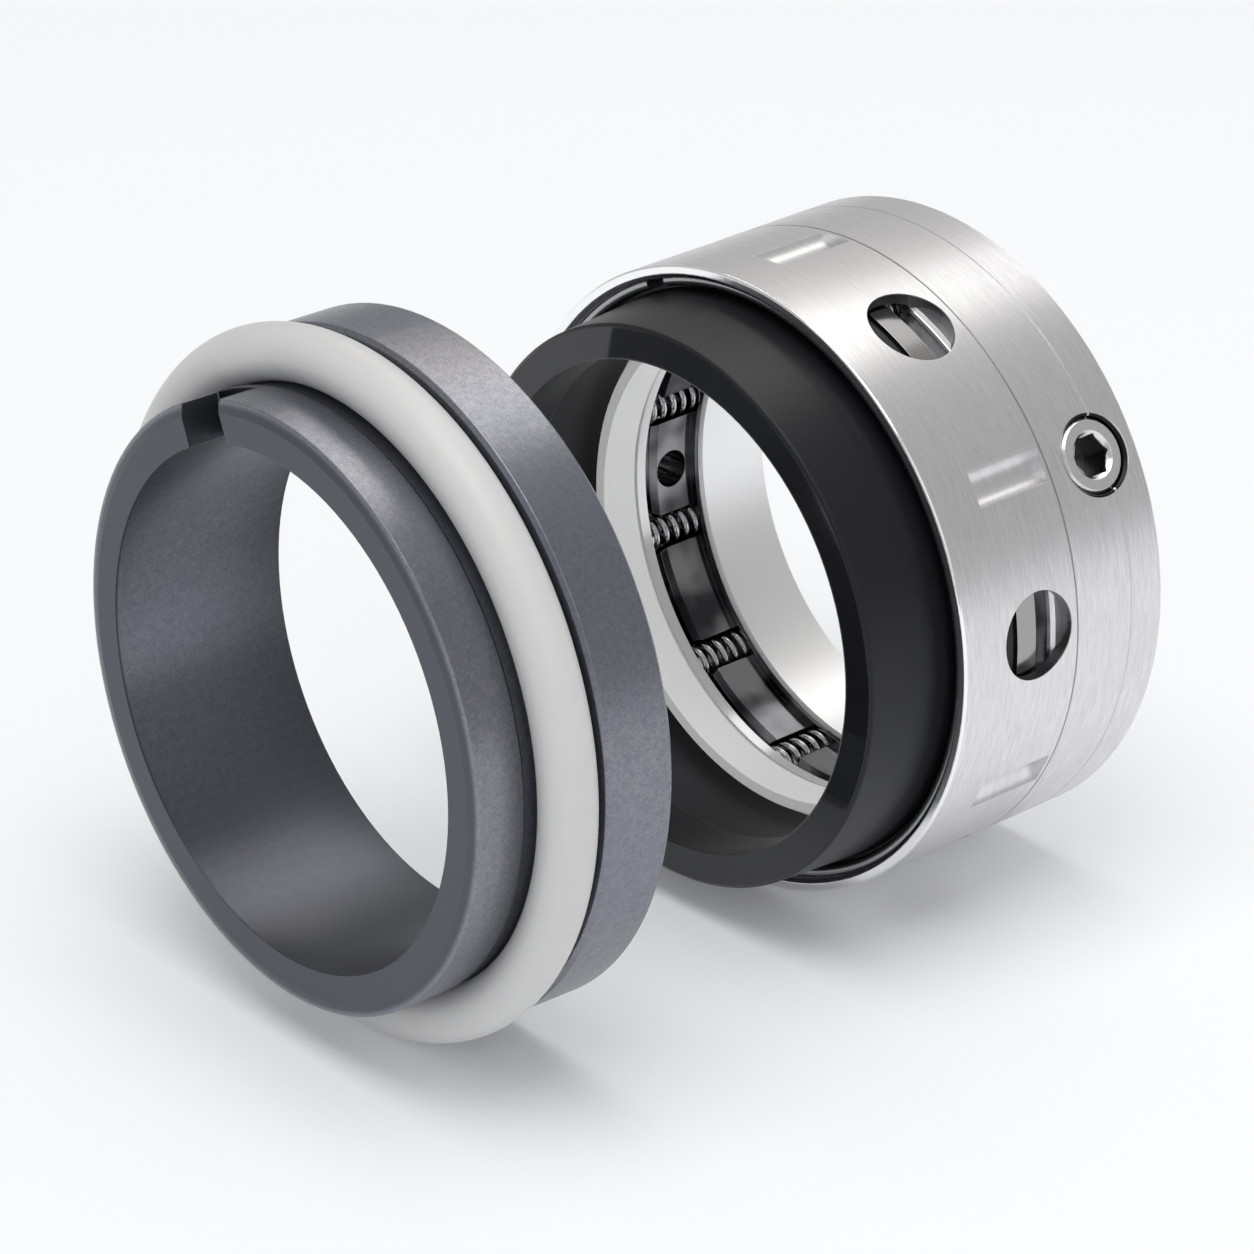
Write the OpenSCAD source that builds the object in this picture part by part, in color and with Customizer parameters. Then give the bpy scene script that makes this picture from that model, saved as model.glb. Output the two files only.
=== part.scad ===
// Mechanical seal for a pump shaft, in two halves that stand side by side.
// The rotating half is a drive collar with a pressed retainer shell, holding a
// sprung carbon ring. The stationary half is a ceramic seat with its O-ring.
// X runs along the shaft. The origin is the centre of the collar's back face,
// and the carbon ring's nose points along -X, towards the seat.

/* [Shaft and collar] */
// Diameter of the shaft that the seal is made for
shaft_d = 50.8; // [40:0.2:70]
// Radial room between the shaft and the collar's bore
bore_room = 0.05; // [0.02:0.01:0.1]
// Length of the collar's plain bore
bore_len = 9.5; // [9:0.1:11]
// Length of the collar's full diameter, up to the shell
collar_len = 12.45; // [12:0.1:14]
// Length of the spigot that carries the shell
spigot_len = 2.35; // [2:0.05:4]
// Height of the lip between the plain bore and the spring chamber
chamber_lip = 1.35; // [1:0.05:2.5]
// Chamfer on the collar's edges
collar_chamfer = 0.6; // [0.2:0.05:0.8]
// Chamfer on the back edge of the bore
bore_chamfer = 0.4; // [0.2:0.05:0.5]
// Small edge break on both sides of the seam between collar and shell
seam_break = 0.1; // [0.05:0.05:0.2]
// Distance of the fine turned line from the collar's back face
line_back = 4.8; // [1.5:0.1:5.5]
// Depth of the fine turned line
line_depth = 0.1; // [0.05:0.05:0.2]
// Turn of the rotating half about the shaft
rotary_turn = 2.8; // [-15:0.2:15]

/* [Springs] */
// Number of springs round the collar
spring_count = 12; // [6:6:12]
// Turn of the springs from the middle between a dent and a window
spring_turn = -1.2; // [-2:0.2:2]
// Outer diameter of a spring
spring_d = 4.2; // [3:0.1:4.6]
// Diameter of the spring wire
wire_d = 0.7; // [0.4:0.05:0.9]
// Turns in a spring
spring_turns = 6.5; // [5:0.5:8.5]
// Radial room between a spring and its pocket
pocket_room = 0.3; // [0.15:0.05:0.5]
// How far the middle of a pocket lies outside the chamber's wall
pocket_set = 1.6; // [1:0.1:2]
// Metal left between a pocket and the shell
pocket_wall = 0.8; // [0.6:0.1:1.5]
// How far a pocket runs behind the chamber's floor
pocket_sink = 1.5; // [0.5:0.1:2]

/* [Set screws] */
// Number of set screws
screw_count = 3; // [1:1:3]
// Turn of the set screws from the line of the dents
screw_turn = -2; // [-3:0.5:3]
// Thread diameter of a set screw
screw_d = 8; // [5:0.5:8]
// Length of a set screw
screw_len = 6; // [4:0.5:6]
// Distance of the set screws from the collar's back face
screw_back = 6; // [5:0.1:6.4]
// Depth of the screw's flat end below the collar's surface
screw_inset = 0.3; // [0.2:0.05:0.8]
// Chamfer on a set screw's flat end
screw_chamfer = 0.4; // [0.2:0.05:0.6]
// Chamfer round a set screw's point
point_chamfer = 0.8; // [0.4:0.1:1]
// Depth of the hollow in the screw's cup point
cup_depth = 0.6; // [0.3:0.1:1]
// Width of the hollow in the screw's cup point
cup_d = 4; // [2:0.1:4]
// Key size of the screw's hexagon socket
key_size = 4; // [2:0.5:4]
// Depth of the countersink in the socket's mouth
socket_sink = 0.4; // [0.1:0.05:0.6]
// Width of the chamfer round a screw hole
hole_chamfer = 0.4; // [0.2:0.05:1]
// Number of blind holes in the spring chamber's wall
wall_hole_count = 3; // [1:1:3]
// Diameter of the blind holes in the spring chamber's wall
wall_hole_d = 4; // [2:0.1:4]
// Depth of the blind holes in the spring chamber's wall
wall_hole_len = 3; // [1:0.1:3.5]

/* [Retainer shell] */
// Thickness of the shell
shell_t = 1.4; // [1:0.05:2]
// Number of windows, and of drive dents between them
window_count = 6; // [3:3:6]
// Diameter of a window
window_d = 9.2; // [4:0.2:9.4]
// Turn of the windows from the middle between two dents
window_turn = 1.5; // [-2:0.5:2]
// Length of a drive dent
dent_len = 9.4; // [7:0.1:9.8]
// Width of a drive dent at the shell's surface
dent_w = 4; // [2.5:0.1:4.2]
// Depth of a drive dent below the shell's surface
dent_depth = 1.1; // [0.7:0.05:1.2]
// Distance between the shell's back edge and the dents
dent_back = 0.5; // [0.3:0.05:0.8]
// How much the pressing thins the shell's wall in a dent
dent_thinning = 0.1; // [0:0.05:0.3]
// Width of the shell's edge ahead of the snap ring
shell_edge = 0.7; // [0.5:0.05:1.5]
// Small edge break outside on the shell's front edge
edge_break = 0.15; // [0.05:0.05:0.3]
// Chamfer inside the shell's front edge
edge_chamfer = 0.5; // [0.2:0.05:0.6]

/* [Snap ring] */
// Diameter of the snap ring's wire
snap_d = 1.4; // [1:0.05:1.6]
// How far the wire sits in the shell's groove
snap_sink = 0.35; // [0.2:0.05:0.45]
// Opening between the snap ring's ends
snap_gap = 1.3; // [0.8:0.1:4]
// Place of the opening, turned from the top
snap_at = 21; // [0:1:60]

/* [Carbon ring and wedge] */
// Free travel of the carbon ring towards the collar
travel = 1.6; // [0.8:0.1:2]
// Room left at the end of the travel
travel_room = 0.2; // [0.1:0.05:0.5]
// Room round the rings inside the shell
ring_room = 0.3; // [0.2:0.05:0.5]
// Thickness of the thrust disc's web
disc_t = 1.2; // [0.8:0.05:1.6]
// Thickness of the thrust disc's rim
disc_rim_t = 2.6; // [2:0.1:3]
// Width of the thrust disc's rim
disc_rim_w = 1.7; // [1.2:0.1:2]
// Room between the shaft and the thrust disc
disc_bore_room = 0.5; // [0.3:0.05:1.2]
// Length of the wedge ring
wedge_len = 5.1; // [4:0.1:6.5]
// Width of the wedge ring's narrow end
wedge_tip = 1.2; // [0.8:0.05:1.8]
// Length of the wedge ring's straight back edge
wedge_edge = 0.8; // [0.3:0.05:1]
// Chamfer inside the wedge ring's back end
wedge_chamfer = 0.9; // [0.3:0.05:1.2]
// Gap between the thrust disc's rim and the carbon ring
disc_gap = 0.6; // [0.3:0.05:1]
// Length of the carbon ring inside the shell
flange_len = 6.2; // [5:0.1:9]
// Length of the carbon ring's nose ahead of the flange
nose_len = 11.5; // [7:0.1:14]
// Room between the shaft and the bore of the nose
nose_bore_room = 0.5; // [0.3:0.05:1.2]
// Width of the lapped face
face_w = 3.6; // [2.5:0.05:3.9]
// How much the nose widens from the face to the flange
nose_taper = 0.7; // [0:0.05:0.9]
// Room between the shaft and the recess behind the nose
recess_room = 2.3; // [1.8:0.05:2.8]
// Thickness of the lip ahead of the recess
recess_lip = 5.5; // [3:0.1:7]
// Chamfer on the nose's outer edge
nose_chamfer = 0.3; // [0.1:0.05:0.5]

/* [Seat] */
// Room between the shaft and the seat's bore
seat_bore_room = 1.1; // [0.8:0.05:2]
// Thickness of the seat's neck over its bore
neck_t = 4.25; // [3.5:0.05:6]
// Length of the whole seat
seat_len = 20; // [19:0.1:26]
// Length of the seat's flange
seat_flange_len = 8; // [6:0.1:10]
// Height of the flange above the neck
seat_flange_h = 4.45; // [3.6:0.05:5.2]
// Depth of the O-ring groove below the neck
groove_depth = 0.35; // [0.2:0.05:1]
// Thickness of the seat's O-ring
oring_d = 5.7; // [5:0.1:6.5]
// Room on each side of the O-ring in its groove
oring_room = 0.35; // [0.1:0.05:0.6]
// Width of the bevel round the seat's front face
front_bevel_w = 1.3; // [0.5:0.1:2]
// Height of the bevel round the seat's front face
front_bevel_h = 0.35; // [0.2:0.05:1]
// Chamfer on the flange's edges
flange_chamfer = 0.4; // [0.2:0.05:0.8]
// Width of the notch for the locking pin
notch_w = 6.6; // [5:0.1:9]
// Depth of the notch from the seat's front
notch_len = 4.6; // [3:0.1:5]
// Place of the notch, turned from the top
notch_at = 22; // [0:1:60]

/* [Layout] */
// Distance between the two faces that run on each other
face_gap = 27.1; // [0.5:0.1:60]
// Sideways offset of the seat
seat_side = 2.6; // [-10:0.1:10]
// Turn of the seat on the floor
seat_yaw = -2.5; // [-10:0.5:10]

/* [Hidden] */
$fn = 96;
// Overlap of cutters past the faces they cut
past = 1;
// Gap left where two pieces only just touch
touch = 0.05;

// Radii of the rotating half, from the shaft outwards
shaft_r = shaft_d / 2;
bore_r = shaft_r + bore_room;
chamber_r = bore_r + chamber_lip;
spring_r = chamber_r + pocket_set;
pocket_r = spring_d / 2 + pocket_room;
shell_in_r = spring_r + pocket_r + pocket_wall;
shell_r = shell_in_r + shell_t;
ring_r = shell_in_r - ring_room;

// Places along the shaft, measured from the collar's back face to the nose
spigot_z = collar_len + spigot_len;
disc_z = spigot_z + travel + travel_room;
rim_z = disc_z + disc_rim_t;
wedge_z = disc_z + disc_t;
wedge_front = wedge_z + wedge_len;
carbon_z = rim_z + disc_gap;
flange_z = carbon_z + flange_len;
nose_z = flange_z + nose_len;
snap_z = flange_z + touch + snap_d / 2;
shell_z = snap_z + snap_d / 2 + shell_edge;
window_z = disc_z + disc_rim_t / 2;
pocket_z = bore_len - pocket_sink;

// Spacing of the details round the shaft
spring_step = 360 / spring_count;
window_step = 360 / window_count;
screw_step = 360 / screw_count;
wall_hole_step = 360 / wall_hole_count;
spring_first = spring_step / 2 + spring_turn;
window_first = window_step / 2 + window_turn;
screw_first = window_step + screw_turn;
wall_hole_first = window_step + window_step / 2;

// A dent is pressed by a round tool, whose radius follows from the dent's width and depth
dent_r = (dent_w * dent_w / 4 + dent_depth * dent_depth) / (2 * dent_depth);
dent_mid_r = shell_r - dent_depth + dent_r;
dent_z = collar_len + dent_back;
ridge_wall = shell_t - dent_thinning;
ridge_r = dent_r + ridge_wall;

// The wedge ring's outer cone
wedge_r = shaft_r;
wedge_out = ring_r - disc_rim_w - ring_room;
wedge_slope = (wedge_out - wedge_r - wedge_tip) / (wedge_len - wedge_edge);
function wedge_cone(z) = wedge_r + wedge_tip + (wedge_front - z) * wedge_slope;

// Radii of the carbon ring's nose
nose_bore_r = shaft_r + nose_bore_room;
face_r = nose_bore_r + face_w;
nose_base_r = face_r + nose_taper;
recess_r = shaft_r + recess_room;
recess_z = nose_z - recess_lip;
recess_back = wedge_front - (recess_r - wedge_r - wedge_tip - touch) / wedge_slope;

// The snap ring's wire and its groove in the shell
snap_r = shell_in_r + snap_sink - snap_d / 2;
snap_half = asin((snap_gap / 2 + snap_d / 2) / snap_r);

// The seat, measured from its lapped back face
seat_bore_r = shaft_r + seat_bore_room;
neck_r = seat_bore_r + neck_t;
seat_flange_r = neck_r + seat_flange_h;
groove_r = neck_r - groove_depth;
oring_z = seat_flange_len + oring_room + oring_d / 2;
neck_back = oring_z + oring_d / 2 + oring_room;
oring_mid_r = groove_r + oring_d / 2;
oring_r = oring_mid_r + oring_d / 2;

// Both halves stand on the same floor
floor_z = -shell_r;
seat_x = -(nose_z + face_gap);
seat_up = floor_z + oring_r;

module on_shaft() {
    rotate([0, -90, 0]) rotate([0, 0, rotary_turn]) children();
}

module on_seat() {
    translate([seat_x, seat_side, seat_up]) rotate([0, 0, seat_yaw]) rotate([0, -90, 0]) children();
}

module around(count, step, first, r) {
    for (i = [0 : count - 1]) rotate([0, 0, first + i * step]) translate([r, 0, 0]) children();
}

// Round tool of the drive dents, used for the dents and for the slots that take them
module dent_tool(r, from, to) {
    around(window_count, window_step, 0, dent_mid_r) translate([0, 0, from]) cylinder(r = r, h = to - from);
}

module drive_collar() {
    c = collar_chamfer;
    d = line_depth;
    e = seam_break;
    color("silver") on_shaft() difference() {
        rotate_extrude() polygon([
            [bore_r + bore_chamfer, 0], [shell_r - c, 0], [shell_r, c],
            [shell_r, line_back - d], [shell_r - d, line_back], [shell_r, line_back + d],
            [shell_r, collar_len - e], [shell_r - e, collar_len], [shell_in_r, collar_len],
            [shell_in_r, spigot_z - c], [shell_in_r - c, spigot_z],
            [chamber_r + c, spigot_z], [chamber_r, spigot_z - c], [chamber_r, bore_len],
            [bore_r + c, bore_len], [bore_r, bore_len - c], [bore_r, bore_chamfer]]);
        around(spring_count, spring_step, spring_first, spring_r)
            translate([0, 0, pocket_z]) cylinder(r = pocket_r, h = spigot_z - pocket_z + past);
        around(screw_count, screw_step, screw_first, 0) translate([0, 0, screw_back]) screw_hole();
        around(wall_hole_count, wall_hole_step, wall_hole_first, 0)
            translate([0, 0, (bore_len + spigot_z) / 2]) rotate([0, 90, 0])
                cylinder(d = wall_hole_d, h = chamber_r + wall_hole_len);
        dent_tool(ridge_r + touch, dent_z - touch, spigot_z + past);
    }
}

module screw_hole() {
    rotate([0, 90, 0]) {
        translate([0, 0, bore_r - past]) cylinder(d = screw_d, h = shell_r - bore_r + 2 * past);
        translate([0, 0, shell_r - hole_chamfer])
            cylinder(d1 = screw_d, d2 = screw_d + 2 * (hole_chamfer + past), h = hole_chamfer + past);
    }
}

module set_screw(i) {
    r = screw_d / 2 - touch;
    c = screw_chamfer;
    p = point_chamfer;
    corner_r = key_size / 2 / cos(30);
    mouth_r = corner_r + socket_sink / 2;
    top = shell_r - screw_inset;
    color("lightgray") on_shaft() rotate([0, 0, screw_first + i * screw_step])
        translate([0, 0, screw_back]) rotate([0, 90, 0]) difference() {
            translate([0, 0, top - screw_len]) rotate_extrude() polygon([
                [0, cup_depth], [cup_d / 2, 0], [r - p, 0], [r, p],
                [r, screw_len - c], [r - c, screw_len], [0, screw_len]]);
            translate([0, 0, top - key_size]) cylinder(r = corner_r, h = key_size + past, $fn = 6);
            translate([0, 0, top - socket_sink])
                cylinder(r1 = mouth_r - socket_sink, r2 = mouth_r + past, h = socket_sink + past);
        }
}

module retainer_shell() {
    e = seam_break;
    crest_r = shell_in_r + edge_break;
    ridge_end = dent_z + dent_len + ridge_wall;
    color("gainsboro") on_shaft() difference() {
        union() {
            rotate_extrude() polygon([
                [shell_in_r, collar_len], [shell_r - e, collar_len], [shell_r, collar_len + e],
                [shell_r, shell_z - edge_break], [shell_r - edge_break, shell_z],
                [shell_in_r + edge_chamfer, shell_z], [shell_in_r, shell_z - edge_chamfer]]);
            intersection() {
                dent_tool(ridge_r, dent_z, ridge_end);
                rotate_extrude() polygon([
                    [shaft_r, dent_z], [crest_r, dent_z], [crest_r, ridge_end], [shaft_r, ridge_end]]);
            }
        }
        dent_tool(dent_r, dent_z, dent_z + dent_len);
        around(window_count, window_step, window_first, 0) translate([0, 0, window_z])
            rotate([0, 90, 0]) cylinder(d = window_d, h = shell_r + past);
        rotate_extrude() translate([snap_r, snap_z]) circle(d = snap_d + touch);
    }
}

module snap_ring() {
    color("gray") on_shaft() rotate([0, 0, snap_at + snap_half])
        translate([0, 0, snap_z]) rotate_extrude(angle = 360 - 2 * snap_half)
            translate([snap_r, 0]) circle(d = snap_d);
}

module primary_ring() {
    color("dimgray") on_shaft() difference() {
        rotate_extrude() polygon([
            [nose_bore_r, nose_z], [face_r - nose_chamfer, nose_z], [face_r, nose_z - nose_chamfer],
            [nose_base_r, flange_z], [ring_r, flange_z], [ring_r, carbon_z],
            [wedge_cone(carbon_z) + touch, carbon_z], [recess_r, recess_back],
            [recess_r, recess_z], [nose_bore_r, recess_z]]);
        dent_tool(ridge_r + ring_room, carbon_z - past, dent_z + dent_len + ridge_wall + travel + ring_room);
    }
}

module wedge_ring() {
    color("white") on_shaft() rotate_extrude() polygon([
        [wedge_r + wedge_chamfer, wedge_z], [wedge_out, wedge_z], [wedge_out, wedge_z + wedge_edge],
        [wedge_r + wedge_tip, wedge_front], [wedge_r, wedge_front], [wedge_r, wedge_z + wedge_chamfer]]);
}

module thrust_disc() {
    bore = shaft_r + disc_bore_room;
    step = ring_r - disc_rim_w;
    color("silver") on_shaft() difference() {
        rotate_extrude() polygon([
            [bore, disc_z], [ring_r, disc_z], [ring_r, rim_z], [step, rim_z],
            [step, wedge_z], [bore, wedge_z]]);
        dent_tool(ridge_r + ring_room, disc_z - past, rim_z + past);
    }
}

// One coil spring, swept along its helix, with a closed turn at each end
spring_len = disc_z - touch - pocket_z;
coil_steps = 10;
wire_sides = 6;
end_pitch = wire_d + touch;
coil_r = (spring_d - wire_d) / 2;
free_pitch = (spring_len - wire_d - 2 * end_pitch) / (spring_turns - 2);
function coil_z(t) = wire_d / 2 + end_pitch * min(t, 1) + free_pitch * max(0, min(t, spring_turns - 1) - 1)
    + end_pitch * max(0, t - spring_turns + 1);

module coil_spring() {
    rings = round(spring_turns * coil_steps);
    points = [for (i = [0 : rings], j = [0 : wire_sides - 1])
        let (t = i * spring_turns / rings, a = 360 * t, b = 360 * j / wire_sides,
             r = coil_r + wire_d / 2 * cos(b))
        [r * cos(a), r * sin(a), coil_z(t) + wire_d / 2 * sin(b)]];
    faces = concat(
        [[for (j = [0 : wire_sides - 1]) j]],
        [for (i = [0 : rings - 1], j = [0 : wire_sides - 1])
            let (k = (j + 1) % wire_sides, p = i * wire_sides, q = p + wire_sides)
                [p + j, q + j, q + k, p + k]],
        [[for (j = [wire_sides - 1 : -1 : 0]) rings * wire_sides + j]]);
    polyhedron(points, faces, convexity = 10);
}

module spring(i) {
    color("gainsboro") on_shaft() rotate([0, 0, spring_first + (i - 1) * spring_step])
        translate([spring_r, 0, pocket_z]) coil_spring();
}

module seat_ring() {
    c = flange_chamfer;
    color("slategray") on_seat() difference() {
        rotate_extrude() polygon([
            [seat_bore_r, 0], [seat_flange_r - c, 0], [seat_flange_r, c],
            [seat_flange_r, seat_flange_len - c], [seat_flange_r - c, seat_flange_len],
            [groove_r, seat_flange_len],
            [groove_r, neck_back - groove_depth], [neck_r, neck_back], [neck_r, seat_len - front_bevel_h],
            [neck_r - front_bevel_w, seat_len], [seat_bore_r, seat_len]]);
        rotate([0, 0, notch_at]) translate([seat_bore_r - past, -notch_w / 2, seat_len - notch_len])
            cube([neck_t + 2 * past, notch_w, notch_len + past]);
    }
}

module seat_o_ring() {
    color("white") on_seat() translate([0, 0, oring_z]) rotate_extrude()
        translate([oring_mid_r, 0]) circle(d = oring_d);
}

drive_collar();
retainer_shell();
snap_ring();
primary_ring();
wedge_ring();
thrust_disc();
for (i = [1 : spring_count]) spring(i);
for (i = [1 : screw_count]) set_screw(i - 1);
seat_ring();
seat_o_ring();
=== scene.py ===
import math

import bpy
from mathutils import Matrix, Vector


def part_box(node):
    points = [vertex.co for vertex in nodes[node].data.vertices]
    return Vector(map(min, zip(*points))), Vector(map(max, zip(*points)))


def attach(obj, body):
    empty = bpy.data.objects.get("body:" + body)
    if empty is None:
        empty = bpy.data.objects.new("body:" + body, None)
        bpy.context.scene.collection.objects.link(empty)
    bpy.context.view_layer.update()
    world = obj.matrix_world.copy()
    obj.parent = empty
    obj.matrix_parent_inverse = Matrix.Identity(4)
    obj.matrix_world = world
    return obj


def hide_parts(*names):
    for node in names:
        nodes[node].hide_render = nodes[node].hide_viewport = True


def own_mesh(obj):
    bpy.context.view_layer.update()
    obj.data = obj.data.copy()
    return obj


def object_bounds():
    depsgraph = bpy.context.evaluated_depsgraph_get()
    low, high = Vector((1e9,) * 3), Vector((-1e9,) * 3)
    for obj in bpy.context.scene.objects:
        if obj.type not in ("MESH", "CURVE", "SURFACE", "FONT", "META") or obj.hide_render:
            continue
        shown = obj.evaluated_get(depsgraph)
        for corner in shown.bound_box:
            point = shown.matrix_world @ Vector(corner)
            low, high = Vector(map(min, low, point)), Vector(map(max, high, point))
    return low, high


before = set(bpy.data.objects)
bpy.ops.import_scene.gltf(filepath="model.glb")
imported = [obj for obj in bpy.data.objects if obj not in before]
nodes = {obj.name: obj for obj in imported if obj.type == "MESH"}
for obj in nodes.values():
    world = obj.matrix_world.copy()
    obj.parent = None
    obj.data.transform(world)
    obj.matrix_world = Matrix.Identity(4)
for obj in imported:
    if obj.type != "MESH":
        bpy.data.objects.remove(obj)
cad_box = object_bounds()
# Lengths in Blender are in metres
MM = 0.001


# Drive collar
# The steel ring that the set screws lock to the shaft. It is turned from bar
# and brushed round its outside, and bright in the bore. Its chamber is painted
# dark with blotches, as painted shade.

class Wire:
    """A socket that takes part in plain Python sums."""

    def __init__(self, net, socket):
        self.net = net
        self.socket = socket

    def sum(self, operation, *others):
        return self.net.node("ShaderNodeMath", {"operation": operation}, 0, self, *others)

    def __add__(self, other):
        return self.sum("ADD", other)

    def __sub__(self, other):
        return self.sum("SUBTRACT", other)

    def __mul__(self, other):
        return self.sum("MULTIPLY", other)

    def __truediv__(self, other):
        return self.sum("DIVIDE", other)

    def __rsub__(self, other):
        return self.net.node("ShaderNodeMath", {"operation": "SUBTRACT"}, 0, other, self)

    __radd__ = __add__
    __rmul__ = __mul__


class Net:
    """A node tree that is written as Python expressions."""

    def __init__(self, tree):
        self.tree = tree

    def put(self, value, socket):
        if isinstance(value, Wire):
            self.tree.links.new(value.socket, socket)
        else:
            socket.default_value = value

    def node(self, kind, settings=None, out=0, *values, **named):
        made = self.tree.nodes.new(kind)
        for key, value in (settings or {}).items():
            setattr(made, key, value)
        for socket, value in zip(made.inputs, values):
            self.put(value, socket)
        for key, value in named.items():
            self.put(value, made.inputs[key.replace("_", " ")])
        return Wire(self, made.outputs[out])

    def spread(self, value, low, high, to_low=0.0, to_high=1.0):
        """Runs smoothly from one value to another while the first goes from low to high."""
        return self.node("ShaderNodeMapRange", {"interpolation_type": "SMOOTHSTEP"}, 0,
                         value, low, high, to_low, to_high)

    def below(self, value, low, high):
        """1 below low, 0 above high, and smooth between them."""
        return self.spread(value, low, high, 1, 0)

    def mix(self, share, first, second):
        made = self.tree.nodes.new("ShaderNodeMix")
        made.data_type = "RGBA"
        for index, value in ((0, share), (6, first), (7, second)):
            if isinstance(value, tuple):
                value = (*value, 1)
            self.put(value, made.inputs[index])
        return Wire(self, made.outputs[2])

    def parts(self, vector):
        split = self.node("ShaderNodeSeparateXYZ", None, 0, vector)
        return [Wire(self, socket) for socket in split.socket.node.outputs]


class Finish(Net):
    """A procedural material with one Principled shader."""

    def __init__(self, name, **constants):
        self.material = bpy.data.materials.new(name)
        self.material.use_nodes = True
        super().__init__(self.material.node_tree)
        self.tree.nodes.clear()
        output = self.tree.nodes.new("ShaderNodeOutputMaterial")
        self.shader = self.tree.nodes.new("ShaderNodeBsdfPrincipled")
        self.tree.links.new(self.shader.outputs[0], output.inputs[0])
        for socket, value in constants.items():
            self.shader.inputs[socket.replace("_", " ")].default_value = value

    def noise(self, vector, scale, detail=2, roughness=0.5):
        return self.node("ShaderNodeTexNoise", None, 0, Vector=vector, Scale=scale, Detail=detail,
                         Roughness=roughness)

    def stretch(self, vector, *scales):
        return self.node("ShaderNodeVectorMath", {"operation": "MULTIPLY"}, 0, vector, scales)

    def place(self, centre=(0, 0, 0), turn=0):
        """Object coordinates with X along a ring's own shaft line."""
        here = self.node("ShaderNodeTexCoord", None, 3)
        if centre != (0, 0, 0) or turn:
            here = self.node("ShaderNodeMapping", {"vector_type": "TEXTURE"}, 0,
                             Vector=here, Location=centre, Rotation=(0, 0, turn))
        return here

    def turned(self, centre=(0, 0, 0), turn=0):
        """Millimetres along a ring's shaft line and away from it."""
        x, y, z = self.parts(self.place(centre, turn))
        return x / MM, (y * y + z * z).sum("SQRT") / MM

    def round_shaft(self):
        """A vector on which noise runs in streaks round the shaft."""
        x, y, z = self.parts(self.place())
        radius = (y * y + z * z).sum("SQRT")
        return self.node("ShaderNodeCombineXYZ", None, 0, (x + radius) / MM, y / radius, z / radius)

    def from_holes(self, at, first, count):
        """Millimetres from the middle line of the nearest hole in a row of holes round the shaft."""
        x, y, z = self.parts(self.place())
        step = math.tau / count
        off = (y.sum("ARCTAN2", z) - (first - step / 2)).sum("FLOORED_MODULO", step) - step / 2
        across = off.sum("SINE") * (y * y + z * z).sum("SQRT")
        along = x - at
        return (along * along + across * across).sum("SQRT") / MM

    def finish(self, colour=None, roughness=None, bump=None, distance=1e-5, strength=0.2, edge=None):
        """Links what varies; edge is the radius in mm that the broken corners seem to have."""
        if colour is not None:
            self.put(colour, self.shader.inputs["Base Color"])
        if roughness is not None:
            self.put(roughness, self.shader.inputs["Roughness"])
        if bump is not None:
            normal = self.node("ShaderNodeBump", None, 0, Height=bump, Distance=distance, Strength=strength)
            if edge is not None:
                self.put(self.node("ShaderNodeBevel", {"samples": 8}, 0, edge * MM),
                         normal.socket.node.inputs["Normal"])
            self.put(normal, self.shader.inputs["Normal"])
        return self.material


def scratches(steel):
    """Fine and broad scratches that run round the shaft, from 0 to 1."""
    streak = steel.round_shaft()
    fine = steel.noise(steel.stretch(streak, 13, 14, 14), 1, 2, 0.6)
    broad = steel.noise(steel.stretch(streak, 3, 5, 5), 1)
    return fine * 0.75 + broad * 0.25


def dress(node, material):
    """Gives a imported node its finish."""
    piece = nodes[node]
    piece.data.materials.clear()
    piece.data.materials.append(material)


STEEL = (0.79, 0.785, 0.795)
STEEL_SCRATCH = (0.645, 0.64, 0.65)
CHAMBER_SHADE_DEEP = (0.04, 0.04, 0.044)
CHAMBER_SHADE_PALE = (0.26, 0.26, 0.266)
GAP_SHADE = (0.02, 0.02, 0.02)
CUT_STEEL = (0.32, 0.32, 0.32)
LINE_STEEL = (0.6, 0.6, 0.6)
BORE_STEEL = (0.9, 0.9, 0.9)
SCREW_COUNT = 3
# Radii, places along the shaft and widths are in millimetres
MOUTH_R = 4.25
BORE_R = 25.45
CHAMBER_FLOOR = -9.2
SPIGOT_R = 31.3
OUTSIDE_R = 32.1
TURNED_LINE = -4.8
LINE_HALF = 0.1
BLEND = 0.1

collar = Finish("collar_brushed_steel", Metallic=1.0)
x, radius = collar.turned()
grain = scratches(collar)
inside = (collar.below(radius, SPIGOT_R - BLEND, SPIGOT_R)
          * collar.below(x, CHAMBER_FLOOR - BLEND, CHAMBER_FLOOR))
bore = collar.below(radius, BORE_R + BLEND, BORE_R + 0.3)
outer = collar.mix(collar.spread(grain, 0.35, 0.65), STEEL_SCRATCH, STEEL)
outer = collar.mix(bore, outer, BORE_STEEL)
screw_low, screw_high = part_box("set_screw_1")
screw_mid = (screw_low + screw_high) / 2
screw_turn = math.atan2(screw_mid.y, screw_mid.z)
# Painted shade: a black ring round the mouth of each set screw hole, for the gap round the screw.
from_screw = collar.from_holes(screw_mid.x, screw_turn, SCREW_COUNT)
outer = collar.mix(collar.below(from_screw, MOUTH_R, MOUTH_R + 0.07), outer, GAP_SHADE)
shell_low, shell_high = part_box("retainer_shell")
SEAM = shell_high.x / MM
outside = collar.spread(radius, OUTSIDE_R, OUTSIDE_R + BLEND)
for at, colour in ((TURNED_LINE, LINE_STEEL), (SEAM, CUT_STEEL)):
    from_line = (x - at).sum("ABSOLUTE")
    outer = collar.mix(outside * collar.below(from_line, LINE_HALF, LINE_HALF + 0.03), outer, colour)
# Painted shade: the spring chamber inside the spigot is painted dark, in blotches of two shades.
chamber_blotch = collar.noise(collar.place(), 130)
chamber = collar.mix(collar.spread(chamber_blotch, 0.42, 0.66), CHAMBER_SHADE_DEEP, CHAMBER_SHADE_PALE)
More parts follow.
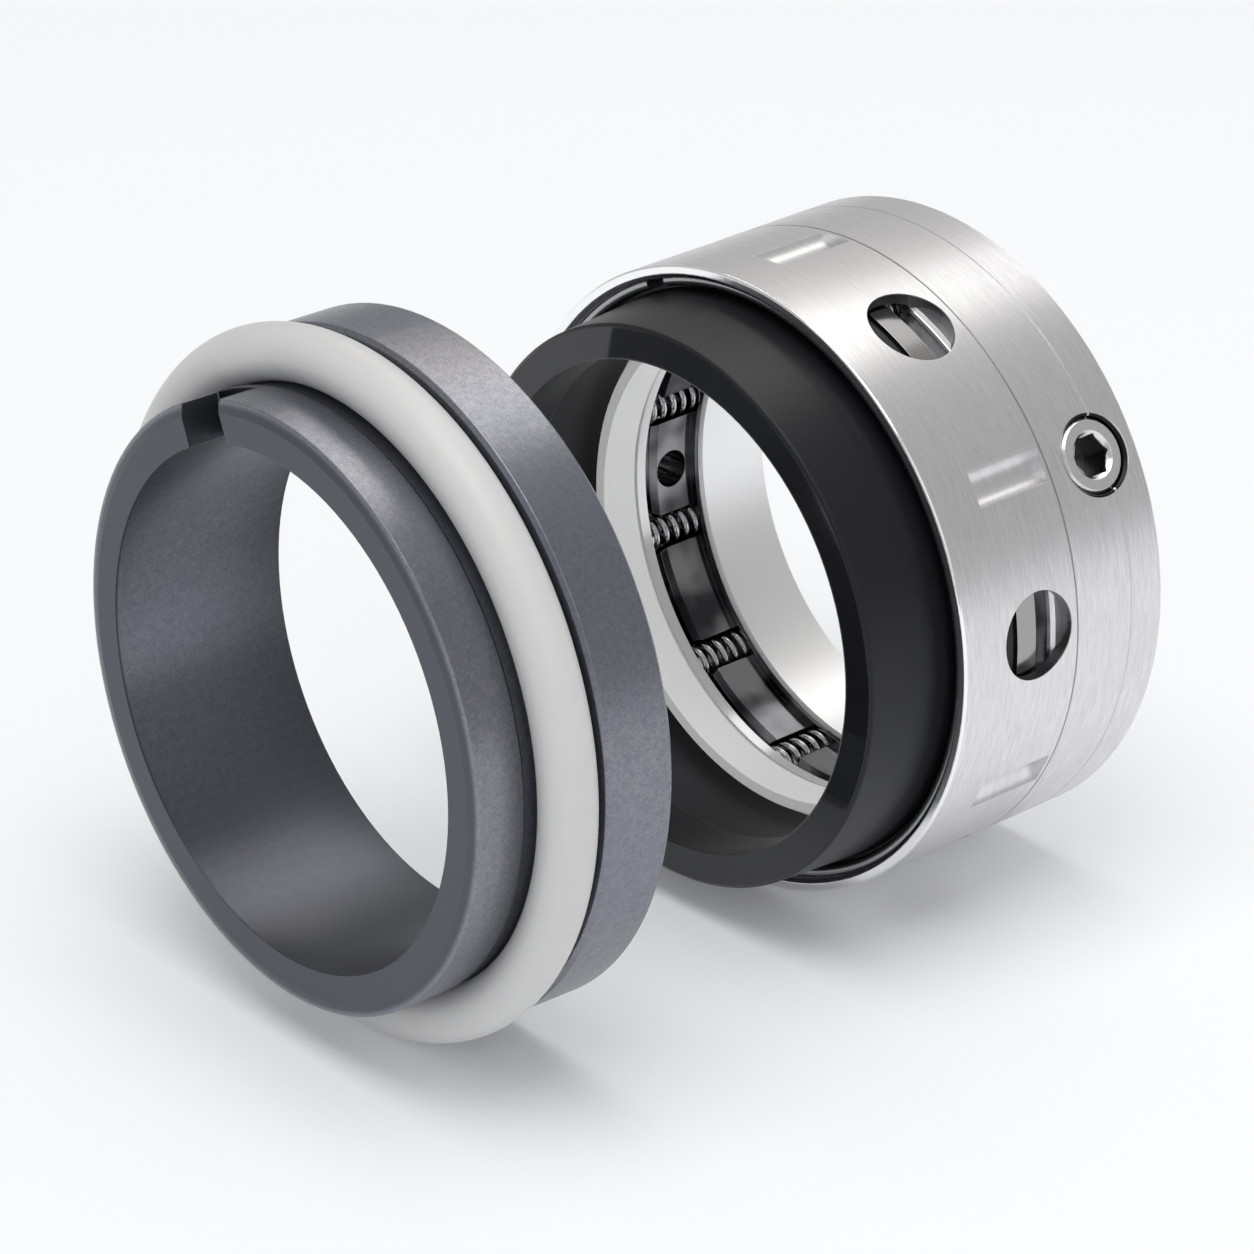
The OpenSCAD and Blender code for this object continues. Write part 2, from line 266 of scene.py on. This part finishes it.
collar.finish(collar.mix(inside, outer, chamber),
              collar.spread(grain, 0.3, 0.7, 0.36, 0.28) - inside * 0.2 + bore * 0.06,
              grain * (1 - inside * 0.8) + inside * chamber_blotch * 12, distance=2e-5, strength=0.3,
              edge=collar.spread(radius, SPIGOT_R - BLEND, SPIGOT_R + 0.3, 0.12, 0.03))
dress("drive_collar", collar.material)


# Retainer shell
# A thin steel sleeve, drawn and then pressed over the collar. It has punched
# windows with drive dents pressed in between them, and a brushed outside.

LIP_STEEL = (0.95, 0.95, 0.95)
WINDOW_WALL_SHADE = (0.16, 0.16, 0.165)
SHELL_R = shell_high.z / MM
FRONT = shell_low.x / MM
WINDOW_COUNT = 6
WINDOW_R = 4.6
WINDOW_TURN = math.radians(34.3)

shell = Finish("shell_brushed_steel", Metallic=1.0)
x, radius = shell.turned()
grain = scratches(shell)
disc_low, disc_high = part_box("thrust_disc")
from_window = shell.from_holes((disc_low.x + disc_high.x) / 2, WINDOW_TURN, WINDOW_COUNT)
# Painted shade: the walls of the punched windows are painted dark.
window_wall_shade = (shell.below(from_window, WINDOW_R + 0.02, WINDOW_R + 0.06)
        * shell.below(radius, SHELL_R - 0.2, SHELL_R - 0.05))
lip = shell.below(x, FRONT + 0.25, FRONT + 0.4)
brushing = shell.mix(shell.spread(grain, 0.35, 0.65), STEEL_SCRATCH, STEEL)
brushing = shell.mix(lip, brushing, LIP_STEEL)
brushing = shell.mix(shell.spread(x, SEAM - LINE_HALF - 0.03, SEAM - LINE_HALF), brushing, CUT_STEEL)
shell.finish(shell.mix(window_wall_shade, brushing, WINDOW_WALL_SHADE),
             shell.spread(grain, 0.3, 0.7, 0.36, 0.28) - lip * 0.22,
             grain * (1 - window_wall_shade), distance=2e-5, strength=0.3, edge=0.05 + lip * 0.2)
dress("retainer_shell", shell.material)


# Snap ring
# A split ring of drawn spring wire, snapped into the shell's groove ahead of
# the carbon ring.

WIRE_DARK = (0.3, 0.3, 0.31)
WIRE_LIGHT = (0.42, 0.42, 0.43)

wire = Finish("snap_ring_wire", Metallic=1.0)
drawn = wire.noise(wire.stretch(wire.round_shaft(), 9, 6, 6), 1)
wire.finish(wire.mix(drawn, WIRE_DARK, WIRE_LIGHT), 0.2 + drawn * 0.08, drawn)
dress("snap_ring", wire.material)


# Thrust disc
# A thin stainless disc with a raised rim. It spreads the push of the springs
# and is polished where the wedge ring seats on it.

DISC_DARK = (0.6, 0.6, 0.6)
DISC_LIGHT = (0.74, 0.74, 0.74)
DISC_RIM_SHADE = (0.36, 0.355, 0.35)
DISC_R = disc_high.z / MM

disc = Finish("thrust_disc_steel", Metallic=1.0)
radius = disc.turned()[1]
lathe = disc.noise(disc.stretch(disc.round_shaft(), 5, 2, 2), 1)
# Painted shade: the outside of the raised rim is painted darker, for the shadow of the shell over it.
rim = disc.spread(radius, DISC_R - 0.3, DISC_R - BLEND)
disc.finish(disc.mix(rim, disc.mix(lathe, DISC_DARK, DISC_LIGHT), DISC_RIM_SHADE),
            0.12 + lathe * 0.08, lathe, strength=0.15, edge=0.1)
dress("thrust_disc", disc.material)


# Carbon ring
# Fine-grained black carbon, machined all over, with its front face lapped flat
# to a mirror.

CARBON_DARK = (0.005, 0.005, 0.006)
CARBON_LIGHT = (0.011, 0.011, 0.0125)
LAPPED_COAT = 0.4

carbon = Finish("black_carbon", Specular_IOR_Level=0.32, Specular_Tint=(0.92, 0.94, 1, 1),
                Coat_Roughness=0.03)
x = carbon.turned()[0]
grain = carbon.noise(carbon.place(), 9000, 2, 0.6)
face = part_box("primary_ring")[0].x / MM
lapped = carbon.below(x, face + 0.02, face + 0.06)
carbon.finish(carbon.mix(carbon.spread(grain, 0.4, 0.7), CARBON_DARK, CARBON_LIGHT),
              0.38 - lapped * 0.33, grain * (1 - lapped), distance=2e-5, strength=0.25, edge=0.3)
carbon.put(lapped * LAPPED_COAT, carbon.shader.inputs["Coat Weight"])
dress("primary_ring", carbon.material)


# Wedge ring
# Turned from white fluoropolymer; the springs press it between the carbon ring
# and the shaft, which it seals.

WEDGE_DARK = (0.86, 0.86, 0.86)
WEDGE_LIGHT = (0.9, 0.9, 0.9)

# Painted light: the wedge ring glows a little, though it is no lamp, which makes it brighter.
wedge = Finish("wedge_white", Roughness=0.42, Subsurface_Weight=0.1, Subsurface_Scale=0.002,
               Emission_Color=(1, 1, 1, 1), Emission_Strength=0.2)
lathe = wedge.noise(wedge.round_shaft(), 5)
wedge.finish(wedge.mix(lathe, WEDGE_DARK, WEDGE_LIGHT), None, lathe, strength=0.1)
dress("wedge_ring", wedge.material)


# Springs
# Twelve coil springs of bright drawn wire, closed at both ends, that sit in
# pockets drilled round the collar. One helix is made and repeated in a ring.

SPRING_COUNT = 12
SPRING_TURNS = 6.5
WIRE_D = 0.7 * MM
SPRING_D = 4.2 * MM
END_PITCH = 0.75 * MM
STEPS_PER_TURN = 28
WIRE_SIDES = 12
SPRING_DARK = (0.5, 0.5, 0.51)
SPRING_LIGHT = (0.68, 0.68, 0.69)

spring_wire = Finish("spring_wire", Metallic=1.0)
drawn = spring_wire.noise(spring_wire.place(), 2500)
spring_wire.finish(spring_wire.mix(drawn, SPRING_DARK, SPRING_LIGHT), 0.08 + drawn * 0.08, drawn,
                   strength=0.15)

coils = bpy.data.node_groups.new("coil_spring_ring", "GeometryNodeTree")
coils.interface.new_socket("Geometry", in_out="OUTPUT", socket_type="NodeSocketGeometry")
spring_low, spring_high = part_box("spring_1")
spring_mid = (spring_low + spring_high) / 2
spring_back = spring_high.x
spring_len = spring_high.x - spring_low.x
SIZES = {
    "Springs": ("NodeSocketInt", SPRING_COUNT),
    "Ring Radius": ("NodeSocketFloat", math.hypot(spring_mid.y, spring_mid.z)),
    "First Turn": ("NodeSocketFloat", math.atan2(spring_mid.y, spring_mid.z)),
    "Back": ("NodeSocketFloat", spring_back),
    "Length": ("NodeSocketFloat", spring_len),
    "Turns": ("NodeSocketFloat", SPRING_TURNS),
    "End Pitch": ("NodeSocketFloat", END_PITCH),
    "Coil Radius": ("NodeSocketFloat", (SPRING_D - WIRE_D) / 2),
    "Wire Radius": ("NodeSocketFloat", WIRE_D / 2),
    "Material": ("NodeSocketMaterial", spring_wire.material),
}
keys = {name: coils.interface.new_socket(name, in_out="INPUT", socket_type=kind).identifier
        for name, (kind, value) in SIZES.items()}
net = Net(coils)
given = coils.nodes.new("NodeGroupInput")
size = {name: Wire(net, given.outputs[name]) for name in SIZES}
step = net.node("GeometryNodeInputIndex")
line = net.node("GeometryNodeMeshLine", {"mode": "OFFSET", "count_mode": "TOTAL"}, 0,
                Count=size["Turns"] * STEPS_PER_TURN + 1)
turn = step / STEPS_PER_TURN
free = (size["Length"] - size["Wire Radius"] * 2 - size["End Pitch"] * 2) / (size["Turns"] - 2)
along = (size["Wire Radius"] + size["End Pitch"] * turn.sum("MINIMUM", 1)
         + free * (turn.sum("MINIMUM", size["Turns"] - 1) - 1).sum("MAXIMUM", 0)
         + size["End Pitch"] * (turn - size["Turns"] + 1).sum("MAXIMUM", 0))
angle = turn * math.tau
helix = net.node("ShaderNodeCombineXYZ", None, 0, size["Back"] - along,
                 angle.sum("SINE") * size["Coil Radius"],
                 angle.sum("COSINE") * size["Coil Radius"] + size["Ring Radius"])
path = net.node("GeometryNodeSetPosition", None, 0, Geometry=line, Position=helix)
path = net.node("GeometryNodeMeshToCurve", None, 0, path)
round_wire = net.node("GeometryNodeCurvePrimitiveCircle", {"mode": "RADIUS"}, 0,
                      Resolution=WIRE_SIDES, Radius=size["Wire Radius"])
coil = net.node("GeometryNodeCurveToMesh", None, 0, Curve=path, Profile_Curve=round_wire, Fill_Caps=True)
spots = net.node("GeometryNodeMeshLine", {"mode": "OFFSET", "count_mode": "TOTAL"}, 0,
                 Count=size["Springs"], Offset=(0, 0, 0))
turn_in_ring = 0 - (size["First Turn"] + step * math.tau / size["Springs"])
rotation = net.node("ShaderNodeCombineXYZ", None, 0, turn_in_ring, 0.0, 0.0)
ring = net.node("GeometryNodeInstanceOnPoints", None, 0, Points=spots, Instance=coil, Rotation=rotation)
ring = net.node("GeometryNodeRealizeInstances", None, 0, ring)
ring = net.node("GeometryNodeSetShadeSmooth", None, 0, ring)
ring = net.node("GeometryNodeSetMaterial", None, 0, Geometry=ring, Material=size["Material"])
coils.links.new(ring.socket, coils.nodes.new("NodeGroupOutput").inputs[0])

springs = bpy.data.objects.new("coil_springs", bpy.data.meshes.new("coil_springs"))
bpy.context.scene.collection.objects.link(springs)
growth = springs.modifiers.new("coils", "NODES")
growth.node_group = coils
for name, (kind, value) in SIZES.items():
    growth[keys[name]] = value
bpy.context.view_layer.update()
made = springs.evaluated_get(bpy.context.evaluated_depsgraph_get())
grown = bpy.data.meshes.new_from_object(made)
springs.modifiers.remove(growth)
springs.data = grown
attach(springs, "housing")
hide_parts(*(f"spring_{number}" for number in range(1, SPRING_COUNT + 1)))
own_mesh(springs)


# Set screws
# Three bright steel set screws with a hexagon socket and a cup point, screwed
# through the collar. Their threads are plain here, and each screw is painted
# dark below just under its top, socket included, as painted shade.

SOCKET_SHADE = (0.16, 0.16, 0.16)
SCREW_DARK = (0.66, 0.66, 0.66)
SCREW_LIGHT = (0.8, 0.8, 0.8)
TOP_R = SHELL_R - 0.8

screw = Finish("set_screw_steel", Metallic=1.0)
radius = screw.turned()[1]
mill = screw.noise(screw.place(), 2200, 2, 0.6)
# Painted shade: the screw is painted dark below just under its top, in its socket and down in its hole.
top = screw.spread(radius, TOP_R - 0.3, TOP_R)
screw.finish(screw.mix(top, SOCKET_SHADE, screw.mix(mill, SCREW_DARK, SCREW_LIGHT)),
             0.18 + mill * 0.1, mill, edge=0.1)
for number in range(1, SCREW_COUNT + 1):
    dress(f"set_screw_{number}", screw.material)


# Seat
# Sintered silicon carbide, ground all over to a dark blue-grey satin. Its front
# face and its bore are painted darker than its outside as painted shade, and its
# notch is painted black as painted shade.

SEAT_BLUE = (0.245, 0.255, 0.293)
SEAT_WARM = (0.273, 0.272, 0.292)
SEAT_SPECK = (0.185, 0.195, 0.23)
SEAT_BORE_SHADE = (0.088, 0.093, 0.11)
SEAT_FRONT_SHADE = (0.1, 0.103, 0.121)
SEAT_YAW = math.radians(-2.5)
SEAT_END = -10.0
SEAT_BORE_R = 26.5
NOTCH_TURN = math.radians(22)
NOTCH_HALF = 3.3
NOTCH_END = SEAT_END + 4.6
NOTCH_LOW = 20.0

seat_low, seat_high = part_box("seat_ring")
seat_mid = tuple((seat_low + seat_high) / 2)
seat = Finish("seat_carbide", Metallic=1.0)
x, radius = seat.turned(seat_mid, SEAT_YAW)
y, z = seat.parts(seat.place(seat_mid, SEAT_YAW))[1:]
front = seat.below(x, SEAT_END + 0.02, SEAT_END + 0.2)
bore = seat.below(radius, SEAT_BORE_R + BLEND, SEAT_BORE_R + 0.3)
from_notch = (y * math.cos(NOTCH_TURN) - z * math.sin(NOTCH_TURN)).sum("ABSOLUTE") / MM
notch = (seat.below(from_notch, NOTCH_HALF + 0.01, NOTCH_HALF + 0.04)
         * seat.spread(x, SEAT_END + 0.1, SEAT_END + 0.2)
         * seat.below(x, NOTCH_END + 0.01, NOTCH_END + 0.04)
         * seat.spread(z / MM, NOTCH_LOW, NOTCH_LOW + 4))
speck = seat.noise(seat.place(), 6500, 2, 0.7)
cloud = seat.noise(seat.place(), 55)
tone = speck * 0.7 + seat.noise(seat.place(), 1500, 2, 0.6) * 0.3
ground = seat.mix(seat.spread(cloud, 0.4, 0.6), SEAT_BLUE, SEAT_WARM)
ground = seat.mix(seat.spread(tone, 0.4, 0.6), SEAT_SPECK, ground)
# Painted shade: the bore and the front face are painted darker than the outside.
ground = seat.mix(bore, ground, SEAT_BORE_SHADE)
ground = seat.mix(front, ground, SEAT_FRONT_SHADE)
# Painted shade: the notch is painted black inside.
seat.finish(seat.mix(notch, ground, GAP_SHADE),
            seat.spread(tone, 0.3, 0.7, 0.35, 0.29) + front * 0.1,
            speck, distance=2e-5, edge=0.15)
dress("seat_ring", seat.material)


# Seat O-ring
# A thick ring moulded of white fluoropolymer and pushed over the seat's neck up
# against its flange, where it seals the seat in the pump's gland plate.

ORING_DARK = (0.62, 0.62, 0.618)
ORING_LIGHT = (0.65, 0.65, 0.648)

oring = Finish("o_ring_white", Roughness=0.4, Subsurface_Weight=0.15, Subsurface_Scale=0.003)
cloud = oring.noise(oring.place(), 90, 3, 0.6)
oring.finish(oring.mix(cloud, ORING_DARK, ORING_LIGHT), None,
             oring.noise(oring.place(), 1500), strength=0.1)
dress("seat_o_ring", oring.material)


# Floor
# A plain pale sheet of paper that the seal stands on. It glows a little, which
# keeps the shadows soft.

FLOOR_HALF = 6.0
FLOOR_GLOW = 0.11
PAPER_DARK = (0.9, 0.905, 0.92)
PAPER_LIGHT = (0.91, 0.915, 0.93)

corners = [(side * FLOOR_HALF, depth * FLOOR_HALF, shell_low.z)
           for side, depth in ((-1, -1), (1, -1), (1, 1), (-1, 1))]
floor_mesh = bpy.data.meshes.new("floor")
floor_mesh.from_pydata(corners, [], [(0, 1, 2, 3)])
floor = bpy.data.objects.new("floor", floor_mesh)
bpy.context.scene.collection.objects.link(floor)
paper = Finish("floor_paper", Roughness=0.8, Specular_IOR_Level=0.1, Emission_Color=(0.97, 0.98, 1, 1),
               Emission_Strength=FLOOR_GLOW)
paper.finish(paper.mix(paper.noise(paper.place(), 3), PAPER_DARK, PAPER_LIGHT))
floor_mesh.materials.append(paper.material)


# Light
# A grey room, a little paler on the far side, with a long soft box overhead and
# two broad fills. The box and the small warm strip by the seat show in
# reflections only.

NEAR_SIDE = (0.47, 0.47, 0.47)
FAR_SIDE = (0.5, 0.5, 0.5)
WARM = (1, 0.93, 0.84)
low, high = cad_box
middle = (Vector(low) + Vector(high)) / 2

world = bpy.data.worlds.new("studio")
bpy.context.scene.world = world
world.use_nodes = True
room = Net(world.node_tree)
y = room.parts(room.node("ShaderNodeTexCoord"))[1]
room.put(room.mix(room.spread(y, -0.5, 0.3), NEAR_SIDE, FAR_SIDE),
         world.node_tree.nodes["Background"].inputs[0])


def panel(name, direction, distance, width, length, radiance):
    """An area lamp seen from the object in a direction, with its length along X."""
    lamp = bpy.data.lights.new(name, "AREA")
    lamp.shape = "RECTANGLE"
    lamp.size = length
    lamp.size_y = width
    lamp.energy = radiance * math.pi * width * length
    held = bpy.data.objects.new(name, lamp)
    bpy.context.scene.collection.objects.link(held)
    away = Vector(direction).normalized()
    held.location = middle + away * distance
    across = Vector((0, 1, 0)).cross(away).normalized()
    up = away.cross(across)
    held.rotation_euler = Matrix((across, up, away)).transposed().to_euler()
    return held


soft_box = panel("soft_box", (0.632, 0.2, 0.745), distance=1.5, width=0.52, length=2.4, radiance=0.76)
soft_box.visible_diffuse = False
strip = panel("seat_strip", (0.155, 0.105, 0.268), distance=0.327, width=0.32, length=0.06, radiance=2.3)
strip.data.color = WARM
strip.visible_diffuse = False
strip.visible_camera = False
panel("front_fill", (-0.3, -0.8, 0.5), distance=1.5, width=1.1, length=1.1, radiance=0.62)
panel("top_fill", (-0.14, -0.16, 1), distance=1.5, width=1.2, length=1.2, radiance=2.8)


# Camera
# The photograph's own viewpoint, with a long lens.

CAMERA_PLACE = (-0.40475, -0.40033, 0.26201)
CAMERA_AZIMUTH = math.radians(-42.13)
CAMERA_RISE = math.radians(25.92)
PHOTO_SIDE = 1254
FOCAL_PIXELS = 6036
SENSOR = 36

camera_data = bpy.data.cameras.new("camera")
camera = bpy.data.objects.new("camera", camera_data)
bpy.context.scene.collection.objects.link(camera)
bpy.context.scene.camera = camera
camera_data.sensor_width = SENSOR
camera_data.lens = SENSOR * FOCAL_PIXELS / PHOTO_SIDE
camera_data.clip_start = 0.01
camera.location = CAMERA_PLACE
camera.rotation_euler = (math.pi / 2 - CAMERA_RISE, 0, CAMERA_AZIMUTH)

bpy.context.scene.view_settings.view_transform = "Standard"
